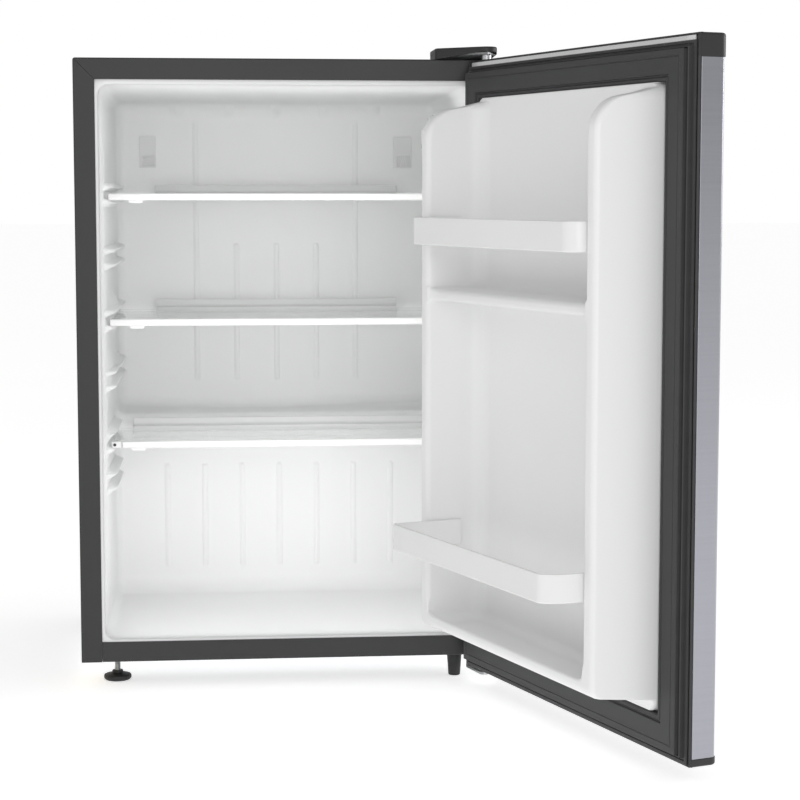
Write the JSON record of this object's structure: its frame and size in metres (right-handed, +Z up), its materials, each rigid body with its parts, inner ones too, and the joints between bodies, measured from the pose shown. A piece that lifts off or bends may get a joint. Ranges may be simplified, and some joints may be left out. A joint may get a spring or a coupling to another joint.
{
  "type": "mini fridge",
  "caption": "Counter-height mini fridge, dark cabinet, stainless door standing open, white liner, sliding glass shelves and lift-out door rack bars.",
  "frame": {"origin": "middle of the whole object's footprint with the door standing open, on the floor under the feet", "axes": "+Z up, the cabinet's front faces -Y, the door hangs on the cabinet's +X side"},
  "size_m": [0.7228, 1.0276, 0.8365],
  "materials": {
    "painted_steel": "satin dark grey enamel",
    "zinc_steel": "bright zinc plate",
    "stainless": "fine brushed stainless",
    "dark_plastic": "moulded, fine satin texture",
    "black_plastic": "moulded, satin",
    "liner_plastic": "vacuum-formed, soft gloss",
    "white_plastic": "moulded, soft gloss",
    "trim_plastic": "moulded, gloss white",
    "shelf_glass": "clear toughened glass",
    "gasket_rubber": "soft matte extrusion",
    "black_rubber": "moulded matte",
    "black_steel": "black stove enamel",
    "copper": "drawn copper, lightly tarnished",
    "plate_aluminium": "mill finish",
    "foam": "rigid polyurethane foam, skinned"
  },
  "bodies": {
    "cabinet": {"cabinet_wrapper": "painted_steel", "bottom_rail": "painted_steel", "floor_panel": "zinc_steel", "bay_panel": "zinc_steel", "rear_panel": "painted_steel", "base_pan": "painted_steel", "inner_liner": "liner_plastic", "evaporator_plate": "plate_aluminium", "foam_insulation": "foam", "drain_tube": "white_plastic", "compressor": "black_steel", "compressor_grommet_1": "black_rubber", "compressor_grommet_2": "black_rubber", "compressor_grommet_3": "black_rubber", "compressor_grommet_4": "black_rubber", "relay_cover": "black_plastic", "drip_pan": "black_plastic", "filter_drier": "copper", "suction_line": "copper", "discharge_line": "copper", "condenser_coil": "black_steel", "condenser_rail_left": "black_steel", "condenser_rail_right": "black_steel", "cord_gland": "black_rubber", "front_right_foot": "black_plastic", "rear_left_foot": "black_plastic", "rear_right_foot": "black_plastic", "top_hinge_bracket": "zinc_steel", "top_hinge_cover": "dark_plastic", "top_hinge_pin": "zinc_steel", "top_hinge_screw_1": "zinc_steel", "top_hinge_screw_2": "zinc_steel", "bottom_hinge_bracket": "zinc_steel", "bottom_hinge_pin": "zinc_steel", "bottom_hinge_screw_1": "zinc_steel", "bottom_hinge_screw_2": "zinc_steel", "thermostat_housing": "white_plastic"},
    "left_foot": {"levelling_foot": "black_plastic"},
    "thermostat_dial": {"thermostat_knob": "white_plastic"},
    "door": {"door_skin": "stainless", "door_top_cap": "dark_plastic", "door_bottom_cap": "dark_plastic", "upper_hinge_bush": "white_plastic", "lower_hinge_bush": "white_plastic", "spare_hinge_plug": "white_plastic", "door_liner": "liner_plastic", "door_foam": "foam", "door_gasket": "gasket_rubber"},
    "upper_bar": {"upper_rack_bar": "trim_plastic"},
    "lower_bar": {"lower_rack_bar": "trim_plastic"},
    "upper_shelf": {"upper_shelf_glass": "shelf_glass", "upper_shelf_front_trim": "trim_plastic", "upper_shelf_rear_trim": "trim_plastic"},
    "middle_shelf": {"middle_shelf_glass": "shelf_glass", "middle_shelf_front_trim": "trim_plastic", "middle_shelf_rear_trim": "trim_plastic"},
    "lower_shelf": {"lower_shelf_glass": "shelf_glass", "lower_shelf_front_trim": "trim_plastic", "lower_shelf_rear_trim": "trim_plastic"}
  },
  "joints": [
    {"name": "door_hinge", "type": "hinge", "parent": "cabinet", "child": "door", "pos_m": [0.17008, -0.00583, 0], "axis": [0, 0, 1], "range_deg": [-109, 21]},
    {"name": "upper_shelf_slide", "type": "slide", "parent": "cabinet", "child": "upper_shelf", "axis": [0, -1, 0], "range_m": [0, 0.12]},
    {"name": "middle_shelf_slide", "type": "slide", "parent": "cabinet", "child": "middle_shelf", "axis": [0, -1, 0], "range_m": [0, 0.12]},
    {"name": "lower_shelf_slide", "type": "slide", "parent": "cabinet", "child": "lower_shelf", "axis": [0, -1, 0], "range_m": [0, 0.12]},
    {"name": "thermostat_turn", "type": "hinge", "parent": "cabinet", "child": "thermostat_dial", "pos_m": [0.12458, 0.22947, 0.724], "axis": [-1, 0, 0], "range_deg": [0, 270]},
    {"name": "left_foot_adjust", "type": "slide", "parent": "cabinet", "child": "left_foot", "axis": [0, 0, 1], "range_m": [0, 0.008]},
    {"name": "upper_bar_lift", "type": "slide", "parent": "door", "child": "upper_bar", "axis": [0, 0, 1], "range_m": [0, 0.02]},
    {"name": "lower_bar_lift", "type": "slide", "parent": "door", "child": "lower_bar", "axis": [0, 0, 1], "range_m": [0, 0.02]}
  ]
}
